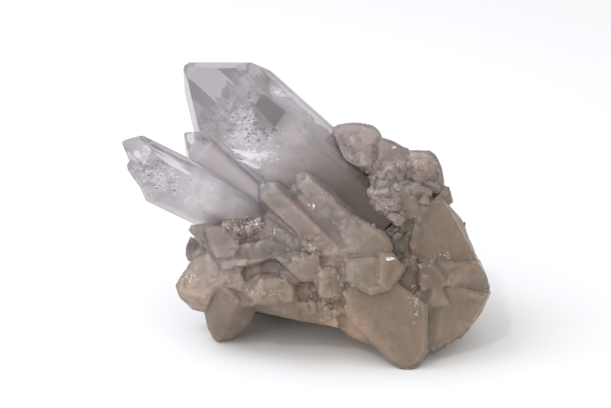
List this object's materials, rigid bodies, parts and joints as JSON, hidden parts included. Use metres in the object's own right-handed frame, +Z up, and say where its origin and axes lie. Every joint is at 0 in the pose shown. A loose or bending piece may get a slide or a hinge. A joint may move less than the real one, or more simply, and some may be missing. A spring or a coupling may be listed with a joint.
{
  "type": "quartz crystal cluster",
  "caption": "Free-standing cluster of milky quartz: leaning six-sided crystal points with slanted tip faces rise from a rough root of grown-together crystals.",
  "frame": {"origin": "centre of the box around the cluster, at the height of the surface it rests on", "axes": "+X to the right along the cluster's longest side, +Y away from the side that shows the large point's front face, +Z up from the flat root facets it rests on; the large point leans towards -X"},
  "size_m": [0.1316, 0.1044, 0.0889],
  "materials": {
    "quartz": "gloss"
  },
  "bodies": {
    "root": {"quartz_cluster": "quartz"}
  },
  "joints": []
}
